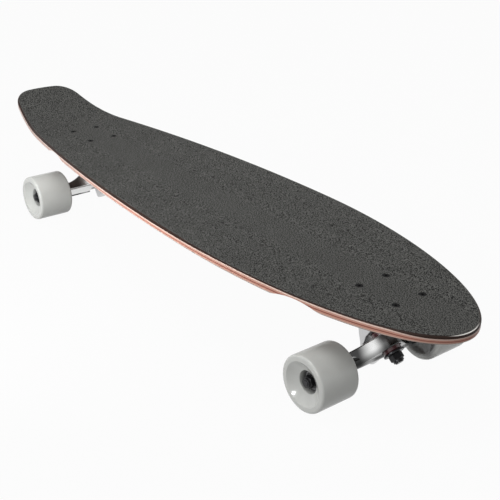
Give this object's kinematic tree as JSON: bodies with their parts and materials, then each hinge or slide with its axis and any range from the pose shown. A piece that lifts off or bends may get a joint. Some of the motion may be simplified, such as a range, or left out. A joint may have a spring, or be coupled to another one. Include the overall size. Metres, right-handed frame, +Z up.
{
  "type": "longboard skateboard",
  "caption": "Longboard with a tapered laminated deck, kicktail, grip tape, reverse-kingpin trucks that steer on bushings, and wide urethane wheels on sealed bearings.",
  "frame": {"origin": "on the ground below the middle of the deck's length and width", "axes": "+X towards the nose, +Y to the left of a rider who faces the nose, +Z up"},
  "size_m": [0.926, 0.2344, 0.1473],
  "materials": {
    "maple": "satin",
    "grip": "rough",
    "cast_aluminium": "satin",
    "steel": "brushed",
    "bearing_steel": "polished",
    "black_steel": "satin",
    "maroon_urethane": "satin",
    "wheel_urethane": "satin",
    "black_urethane": "matte",
    "seal": "satin",
    "cage_nylon": "matte"
  },
  "bodies": {
    "board": {"deck": "maple", "grip_tape": "grip", "front_baseplate": "cast_aluminium", "front_pivot_cup": "black_urethane", "front_kingpin": "black_steel", "front_kingpin_nut": "black_steel", "front_boardside_bushing": "maroon_urethane", "front_roadside_bushing": "maroon_urethane", "front_boardside_washer": "black_steel", "front_roadside_washer": "black_steel", "front_mounting_bolts": "black_steel", "front_mounting_nuts": "black_steel", "rear_baseplate": "cast_aluminium", "rear_pivot_cup": "black_urethane", "rear_kingpin": "black_steel", "rear_kingpin_nut": "black_steel", "rear_boardside_bushing": "maroon_urethane", "rear_roadside_bushing": "maroon_urethane", "rear_boardside_washer": "black_steel", "rear_roadside_washer": "black_steel", "rear_mounting_bolts": "black_steel", "rear_mounting_nuts": "black_steel"},
    "front_steering": {"front_hanger": "cast_aluminium", "front_axle": "black_steel", "front_axle_nuts": "black_steel", "front_speed_washers": "steel", "front_bearing_inner_races": "bearing_steel", "front_bearing_spacers": "steel"},
    "rear_steering": {"rear_hanger": "cast_aluminium", "rear_axle": "black_steel", "rear_axle_nuts": "black_steel", "rear_speed_washers": "steel", "rear_bearing_inner_races": "bearing_steel", "rear_bearing_spacers": "steel"},
    "front_left_rolling": {"front_left_wheel": "wheel_urethane", "front_left_bearing_outer_races": "bearing_steel", "front_left_bearing_shields": "seal"},
    "front_right_rolling": {"front_right_wheel": "wheel_urethane", "front_right_bearing_outer_races": "bearing_steel", "front_right_bearing_shields": "seal"},
    "rear_left_rolling": {"rear_left_wheel": "wheel_urethane", "rear_left_bearing_outer_races": "bearing_steel", "rear_left_bearing_shields": "seal"},
    "rear_right_rolling": {"rear_right_wheel": "wheel_urethane", "rear_right_bearing_outer_races": "bearing_steel", "rear_right_bearing_shields": "seal"},
    "front_left_rollers": {"front_left_bearing_balls": "bearing_steel", "front_left_bearing_cages": "cage_nylon"},
    "front_right_rollers": {"front_right_bearing_balls": "bearing_steel", "front_right_bearing_cages": "cage_nylon"},
    "rear_left_rollers": {"rear_left_bearing_balls": "bearing_steel", "rear_left_bearing_cages": "cage_nylon"},
    "rear_right_rollers": {"rear_right_bearing_balls": "bearing_steel", "rear_right_bearing_cages": "cage_nylon"}
  },
  "joints": [
    {"name": "front_steer", "type": "hinge", "parent": "board", "child": "front_steering", "pos_m": [0.3557, 0, 0.04876], "axis": [0.6018, 0, 0.7986], "range_deg": [-18, 18], "stiffness_Nm_per_rad": 60, "deforming": ["front_boardside_bushing", "front_roadside_bushing"]},
    {"name": "rear_steer", "type": "hinge", "parent": "board", "child": "rear_steering", "pos_m": [-0.2897, 0, 0.04876], "axis": [-0.6018, 0, 0.7986], "range_deg": [-18, 18], "stiffness_Nm_per_rad": 60, "deforming": ["rear_boardside_bushing", "rear_roadside_bushing"]},
    {"name": "front_left_spin", "type": "hinge", "parent": "front_steering", "child": "front_left_rolling", "pos_m": [0.3457, 0.0894, 0.033], "axis": [0, 1, 0], "continuous": true},
    {"name": "front_right_spin", "type": "hinge", "parent": "front_steering", "child": "front_right_rolling", "pos_m": [0.3457, -0.0894, 0.033], "axis": [0, 1, 0], "continuous": true},
    {"name": "rear_left_spin", "type": "hinge", "parent": "rear_steering", "child": "rear_left_rolling", "pos_m": [-0.2797, 0.0894, 0.033], "axis": [0, 1, 0], "continuous": true},
    {"name": "rear_right_spin", "type": "hinge", "parent": "rear_steering", "child": "rear_right_rolling", "pos_m": [-0.2797, -0.0894, 0.033], "axis": [0, 1, 0], "continuous": true},
    {"name": "front_left_roll", "type": "hinge", "parent": "front_steering", "child": "front_left_rollers", "pos_m": [0.3457, 0.0894, 0.033], "axis": [0, 1, 0], "continuous": true},
    {"name": "front_right_roll", "type": "hinge", "parent": "front_steering", "child": "front_right_rollers", "pos_m": [0.3457, -0.0894, 0.033], "axis": [0, 1, 0], "continuous": true},
    {"name": "rear_left_roll", "type": "hinge", "parent": "rear_steering", "child": "rear_left_rollers", "pos_m": [-0.2797, 0.0894, 0.033], "axis": [0, 1, 0], "continuous": true},
    {"name": "rear_right_roll", "type": "hinge", "parent": "rear_steering", "child": "rear_right_rollers", "pos_m": [-0.2797, -0.0894, 0.033], "axis": [0, 1, 0], "continuous": true}
  ],
  "couplings": [
    {"joint": "front_left_roll", "follows": "front_left_spin", "ratio": 0.6323},
    {"joint": "front_right_roll", "follows": "front_right_spin", "ratio": 0.6323},
    {"joint": "rear_left_roll", "follows": "rear_left_spin", "ratio": 0.6323},
    {"joint": "rear_right_roll", "follows": "rear_right_spin", "ratio": 0.6323}
  ]
}
